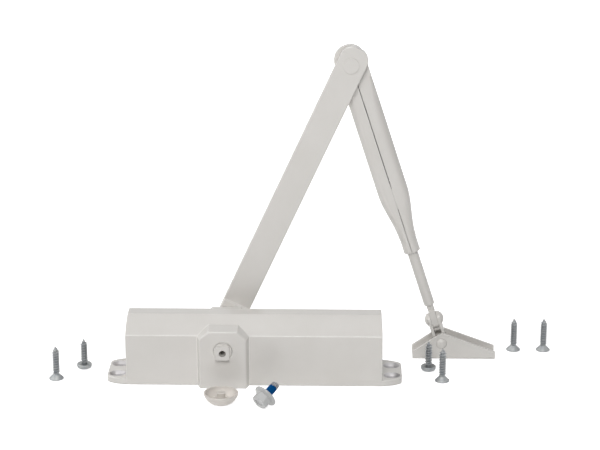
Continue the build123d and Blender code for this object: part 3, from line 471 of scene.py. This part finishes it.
def machined_steel(name, light, dark, rough_base):
    """Turned or ground steel: fine cutting lines, a soft bloom and brighter edges."""
    fin = Finish(name)
    bloom = fin.noise(scale=160.0, detail=4.0, roughness=0.6)
    cut = fin.stretched((4200.0, 500.0, 500.0))
    lines = fin.noise(scale=1.0, detail=4.0, roughness=0.6, place=cut)
    edge = fin.edge_mask(0.4 * MM).above(0.1, softness=0.1)
    tone = fin.mix(bloom, dark, light)
    tone = fin.mix(edge * STEEL_EDGE_TINT, tone, STEEL_EDGE)
    return fin.set(
        Base_Color=tone,
        Metallic=1.0,
        Roughness=rough_base + lines * STEEL_LINE_ROUGH,
        Normal=fin.relief(lines, strength=0.10, distance=0.2 * MM, radius=0.3 * MM),
    )


# Rubber: its roughness, and what its bloom adds
RUBBER_ROUGH, RUBBER_BLOOM_ROUGH = 0.62, 0.2


def rubber(name):
    """Matte nitrile rubber with a faint bloom."""
    fin = Finish(name)
    bloom = fin.noise(scale=300.0, detail=4.0, roughness=0.6)
    grain = fin.noise(scale=1500.0)
    return fin.set(
        Base_Color=fin.mix(bloom, RUBBER_BLACK, RUBBER_BLOOM),
        Roughness=RUBBER_ROUGH + bloom * RUBBER_BLOOM_ROUGH,
        Normal=fin.relief(grain, strength=0.10, distance=0.2 * MM, radius=0.2 * MM),
    )


# Plastic: what its patterns add to the roughness and the height, and how far light goes in
PLASTIC_ROUGH, PLASTIC_SKIN_ROUGH, PLASTIC_FLOW_ROUGH = 0.30, 0.12, 0.05
PLASTIC_SKIN_HEIGHT, PLASTIC_FLOW_HEIGHT = 0.6, 0.5
PLASTIC_SCATTER = 0.05
PLASTIC_SCATTER_RADIUS = (1.5 * MM, 1.5 * MM, 1.2 * MM)


def moulded_plastic(name):
    """Ivory moulded plastic: soft gloss, faint flow clouds and a spark-eroded skin."""
    fin = Finish(name)
    light, shade = PLASTIC
    flow = fin.noise(scale=70.0, detail=3.0, roughness=0.55)
    skin = fin.noise(scale=2400.0, roughness=0.6)
    height = skin * PLASTIC_SKIN_HEIGHT + flow * PLASTIC_FLOW_HEIGHT
    return fin.set(
        Base_Color=fin.mix(flow.above(0.5, softness=0.6), light, shade),
        Roughness=PLASTIC_ROUGH + skin * PLASTIC_SKIN_ROUGH + flow * PLASTIC_FLOW_ROUGH,
        Subsurface_Weight=PLASTIC_SCATTER,
        Subsurface_Radius=PLASTIC_SCATTER_RADIUS,
        Normal=fin.relief(height, strength=0.08, distance=0.2 * MM, radius=0.4 * MM),
    )


# The blue patch: how light its worn specks are, its roughness, and its dull shine
PATCH_WORN_TINT = 0.15
PATCH_ROUGH, PATCH_GRAIN_ROUGH = 0.6, 0.2
PATCH_SPECULAR = 0.05


def patch_blue(name):
    """Dry blue thread-lock patch: grainy, chalky, worn thin in specks."""
    fin = Finish(name)
    grain = fin.noise(scale=2600.0, detail=5.0, roughness=0.7)
    worn = fin.noise(scale=900.0, detail=4.0, roughness=0.7).above(0.66, softness=0.08)
    tone = fin.mix(grain, PATCH_DARK, PATCH_LIGHT)
    tone = fin.mix(worn * PATCH_WORN_TINT, tone, PATCH_WORN)
    return fin.set(
        Base_Color=tone,
        Roughness=PATCH_ROUGH + grain * PATCH_GRAIN_ROUGH,
        Specular_IOR_Level=PATCH_SPECULAR,
        Normal=fin.relief(grain, strength=0.35, distance=0.3 * MM, radius=0.1 * MM),
    )


# The finish of each material slot. The spindle's ends are painted over their machined steel.
FINISHES = {slot: machined_steel(slot, *metal) for slot, metal in METALS.items()}
FINISHES.update(
    painted_body=powder_coat("painted_body"),
    painted_arm=powder_coat("painted_arm"),
    machined_steel=powder_coat("painted_spindle", radius=0.5 * MM, peel=0.15),
    black_rubber=rubber("black_rubber"),
    cap_plastic=moulded_plastic("cap_plastic"),
    zinc_screws=zinc_plate("zinc_screws", root=ZINC_THREAD_HEIGHTS),
)

# Nodes with a finish of their own, in place of their slot's
SPECIAL = {
    # edge_highlight paints a highlight along the edges of the housing and the main arm
    "housing": powder_coat(
        "painted_housing", radius=1.5 * MM, peel=0.12, bare=machined_slots, edge_highlight=0.7
    ),
    "main_arm": powder_coat("painted_main_arm", radius=1.2 * MM, peel=0.15, edge_highlight=0.3),
    "arm_bolt": powder_coat("painted_bolt", radius=0.4 * MM, peel=0.15, paint=BOLT_PAINT),
    "rod": powder_coat("painted_rod", radius=0.5 * MM, marks=rod_thread),
    "forearm": powder_coat("painted_forearm", radius=0.6 * MM, marks=welded_seam),
}
BOLT_STEEL = machined_steel("bolt_thread", *BOLT_THREAD_METAL)
BLUE_PATCH = patch_blue("thread_lock_blue")
ZINC_THREAD = zinc_plate("zinc_thread")


def dress_nodes():
    """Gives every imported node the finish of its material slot, or its own special finish."""
    slots = {entry["node"]: entry["material_slot"] for entry in frame["record"]["subparts"]}
    for name, obj in frame["nodes"].items():
        obj.data.materials.clear()
        obj.data.materials.append(SPECIAL.get(name) or FINISHES[slots[name]])


def grid_faces(rows, columns, closed):
    """Quads between neighbouring points of a grid, closed round its columns or left open."""
    row = np.arange(rows - 1)[:, None]
    last = columns if closed else columns - 1
    column = np.arange(last)[None, :]
    right = (column + 1) % columns
    corners = [row * columns + column, row * columns + right]
    corners += [(row + 1) * columns + right, (row + 1) * columns + column]
    quads = [np.broadcast_to(corner, (rows - 1, last)) for corner in corners]
    return np.stack(quads, axis=-1).reshape(-1, 4)


def make_piece(name, points, faces, material, body=ROOT):
    """A mesh piece from a point array in millimetres and a face list, riding on a body."""
    mesh = bpy.data.meshes.new(name)
    mesh.from_pydata((points * MM).reshape(-1, 3).tolist(), [], [list(face) for face in faces])
    mesh.validate()
    mesh.polygons.foreach_set("use_smooth", np.full(len(mesh.polygons), True))
    mesh.set_sharp_from_angle(angle=math.radians(SHARP_ANGLE))
    mesh.materials.append(material)
    obj = bpy.data.objects.new(name, mesh)
    bpy.context.scene.collection.objects.link(obj)
    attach(obj, body)


def round_z(radius, angle, z):
    """Points at a radius and an angle round Z: x and y are the radius times cosine and sine."""
    return np.stack([radius * np.cos(angle), radius * np.sin(angle), z], axis=-1)


def thread_ridge(core, crest, pitch, start, end, width):
    """A helical thread ridge round Z, as points of a strip four wide.

    core and crest are functions from height to the radius of each there. At turn t the ridge's
    middle is at height start + pitch * t. Its section has four points: two feet sunk a little
    into the core, width apart, and two at the crest, a quarter of that apart. Over the first and
    the last 0.8 of a turn the crest rises from the feet and the section widens from almost
    nothing, both in step with t. Each point then turns round Z by a whole turn times t.
    """
    turns = (end - start) / pitch
    t = np.linspace(0.0, turns, int(turns * RIDGE_STEPS) + 1)
    height = start + pitch * t
    rise = np.clip(np.minimum(t, turns - t) / RIDGE_FADE_TURNS, 0.0, 1.0)
    foot = core(height) - RIDGE_SUNK
    top = foot + (np.maximum(crest(height), foot + RIDGE_LEAST) - foot) * rise
    radius = np.stack([foot, top, top, foot], axis=1)
    across = np.array(RIDGE_SECTION) * width
    z = height[:, None] + across[None, :] * np.maximum(rise, RIDGE_FADE_WIDTH)[:, None]
    return round_z(radius, 2 * np.pi * t[:, None], z)


def ridge_faces(rows):
    """The ridge's skin, closed round its section and across both ends."""
    faces = grid_faces(rows, 4, closed=True)[:, ::-1].tolist()
    faces.append([0, 1, 2, 3])
    last = (rows - 1) * 4
    faces.append([last + 3, last + 2, last + 1, last])
    return faces


def add_screw_thread(name, place, length, start):
    """A wood screw's thread, which follows the point down to the tip.

    The core's radius falls in a straight line over the point, from the shank's to the tip's. The
    crest's falls the same way over a shorter length, to a tenth of what it was.
    """

    def core(height):
        share = np.clip((height - (length - SCREW_POINT)) / SCREW_POINT, 0.0, 1.0)
        return SCREW_CORE + (SCREW_TIP - SCREW_CORE) * share

    def crest(height):
        share = np.clip((height - (length - SCREW_CREST_POINT)) / SCREW_CREST_POINT, 0.0, 1.0)
        return SCREW_CREST * (1.0 - SCREW_CREST_LOSS * share)

    end = length - SCREW_THREAD_SHORT
    points = thread_ridge(core, crest, SCREW_PITCH, start, end, SCREW_RIDGE)
    points = points + np.array([*place, 0.0])
    make_piece(name, points, ridge_faces(len(points)), ZINC_THREAD)


def add_tongue_end():
    """The rod's tongue below its rivet, seen edge-on between the yoke's legs.

    A bar whose outline is a half circle at the nose, of half the bar's width as its radius, with
    two straight flanks running back into the rod. It is set off by the same distance each way
    across the link.
    """
    down, across = (np.array(vector) for vector in link_directions())
    turn = np.linspace(-np.pi / 2, np.pi / 2, TONGUE_NOSE_POINTS)
    nose = TONGUE_END - TONGUE_RADIUS + TONGUE_RADIUS * np.cos(turn)
    along = np.concatenate([[TONGUE_FROM], nose, [TONGUE_FROM]])
    side = np.concatenate([[-TONGUE_RADIUS], TONGUE_RADIUS * np.sin(turn), [TONGUE_RADIUS]])
    outline = np.array(CROSS_RIVET) + along[:, None] * down + side[:, None] * np.array(Y)
    offset = TONGUE_HALF_ACROSS * across
    count = len(outline)
    faces = grid_faces(2, count, closed=True).tolist()
    faces += [list(range(count)), list(range(2 * count - 1, count - 1, -1))]
    points = np.stack([outline - offset, outline + offset])
    make_piece("rod_tongue_end", points, faces, SPECIAL["rod"], body="rod_body")


def bolt_frame(points):
    """Moves points from the bolt's own frame, Z along its shank, to where the bolt lies."""
    heading, tilt = math.radians(BOLT_HEADING), math.radians(BOLT_TILT)
    level = math.cos(tilt)
    along = np.array([level * math.cos(heading), level * math.sin(heading), math.sin(tilt)])
    side = np.array([-math.sin(heading), math.cos(heading), 0.0])
    up = np.cross(along, side)
    return points @ np.stack([side, up, along]) + np.array(BOLT_PLACE)


def ragged(height, sines, turn):
    """A plain height plus a few sines round the bolt."""
    return sum((size * np.sin(waves * turn + phase) for waves, size, phase in sines), height)


def thread_lock_patch():
    """The blue patch's skin round the bolt's thread.

    Between its two ragged ends the radius is a plain one plus a small sine that turns once a
    pitch, so that the thread shows through it. At both ends it dips in a straight line below
    the core.
    """
    turn = np.linspace(0.0, 2 * np.pi, PATCH_COLUMNS, endpoint=False)[None, :]
    share = np.linspace(0.0, 1.0, PATCH_ROWS)[:, None]
    low = ragged(PATCH_FROM, PATCH_FROM_RAGGED, turn)
    high = ragged(PATCH_TO, PATCH_TO_RAGGED, turn)
    z = low + (high - low) * share
    cover = np.clip(np.minimum(share, 1 - share) * PATCH_EDGE_SLOPE, 0.0, 1.0)
    wave = PATCH_WAVE * np.sin(2 * np.pi * z / BOLT_PITCH - turn)
    return round_z(PATCH_SUNK + cover * (PATCH_RADIUS - PATCH_SUNK + wave), turn, z)


def add_screw_threads():
    """Threads on the loose wood screws."""
    for kind, places, length, start in (
        ("countersunk", COUNTERSUNK, COUNTERSUNK_LENGTH, COUNTERSUNK_THREAD_FROM),
        ("pan", PAN_HEADS, PAN_LENGTH, PAN_THREAD_FROM),
    ):
        for number, place in enumerate(places, 1):
            add_screw_thread(f"{kind}_thread_{number}", place, length, start)


def add_bolt_thread():
    """The arm bolt's thread, of one radius from end to end, and the blue patch on it."""
    points = thread_ridge(
        lambda height: np.full_like(height, BOLT_CORE),
        lambda height: np.full_like(height, BOLT_CREST),
        BOLT_PITCH,
        BOLT_THREAD_FROM,
        BOLT_THREAD_TO,
        BOLT_RIDGE,
    )
    faces = ridge_faces(len(points))
    make_piece("bolt_thread", bolt_frame(points), faces, BOLT_STEEL)
    faces = grid_faces(PATCH_ROWS, PATCH_COLUMNS, closed=True)
    make_piece("bolt_patch", bolt_frame(thread_lock_patch()), faces, BLUE_PATCH)


def shows_background(tree):
    """1 on rays that show the white surround: straight from the camera, in metal and in glass."""
    seen = add_node(tree, "ShaderNodeLightPath", output="Is Camera Ray")
    for name in ("Is Glossy Ray", "Is Transmission Ray"):
        seen = seen.math("MAXIMUM", add_node(tree, "ShaderNodeLightPath", output=name))
    return seen


def add_stage():
    """A pale floor that takes the object's shadow and runs out to white away from it."""
    mesh = bpy.data.meshes.new("floor")
    corners = [(-1, -1), (1, -1), (1, 1), (-1, 1)]
    points = [(x * FLOOR_HALF, y * FLOOR_HALF, FLOOR_HEIGHT) for x, y in corners]
    mesh.from_pydata(points, [], [(0, 1, 2, 3)])
    floor = bpy.data.objects.new("floor", mesh)
    bpy.context.scene.collection.objects.link(floor)
    fin = Finish("floor_white")
    away = fin.vector_math("LENGTH", fin.place).above(FLOOR_WHITE_AT, FLOOR_WHITE_FADE)
    glow = shows_background(fin.tree) * (FLOOR_GLOW + away * (1.0 - FLOOR_GLOW))
    fin.set(
        Base_Color=FLOOR_COLOUR,
        Roughness=FLOOR_ROUGH,
        Emission_Color=fin.mix(glow, BLACK, WHITE),
        Emission_Strength=1.0,
    )
    mesh.materials.append(fin.material)


def turned_to(direction):
    """The rotation that points a lamp's or a camera's -Z along a direction, with its Y upwards."""
    return direction.to_track_quat("-Z", "Y").to_euler()


def add_light(name, place, size, power):
    """A rectangular lamp at a place, looking at the object."""
    lamp = bpy.data.lights.new(name, "AREA")
    lamp.shape = "RECTANGLE"
    lamp.size, lamp.size_y = size
    lamp.energy = power
    obj = bpy.data.objects.new(name, lamp)
    obj.location = place
    obj.rotation_euler = turned_to(Vector(LAMPS_AIM) - Vector(place))
    bpy.context.scene.collection.objects.link(obj)


def add_world():
    """A white surround: full strength on rays that show it, and faint as a light."""
    world = bpy.data.worlds.new("studio")
    bpy.context.scene.world = world
    world.use_nodes = True
    tree = world.node_tree
    background = tree.nodes["Background"]
    connect(tree, background.inputs["Color"], WHITE)
    strength = shows_background(tree) * (1.0 - WORLD_LIGHT) + WORLD_LIGHT
    connect(tree, background.inputs["Strength"], strength)


def add_camera():
    """The photograph's viewpoint: a little right of square on, looking down at the body."""
    elevation = math.radians(CAMERA_ELEVATION)
    yaw = math.radians(CAMERA_YAW)
    level = math.cos(elevation)
    forward = Vector((-math.sin(yaw) * level, math.cos(yaw) * level, -math.sin(elevation)))
    data = bpy.data.cameras.new("camera")
    data.sensor_width = CAMERA_SENSOR
    data.lens = CAMERA_LENS
    data.clip_start, data.clip_end = CAMERA_CLIP
    camera = bpy.data.objects.new("camera", data)
    camera.location = Vector(CAMERA_TARGET) - forward * CAMERA_DISTANCE
    camera.rotation_euler = turned_to(forward)
    bpy.context.scene.collection.objects.link(camera)
    bpy.context.scene.camera = camera


dress_nodes()
add_screw_threads()
add_bolt_thread()
add_tongue_end()
add_stage()
add_world()
for lamp_name, (lamp_place, lamp_size, lamp_power) in LAMPS.items():
    add_light(lamp_name, lamp_place, lamp_size, lamp_power)
add_camera()

bpy.context.scene.view_settings.view_transform = "Standard"
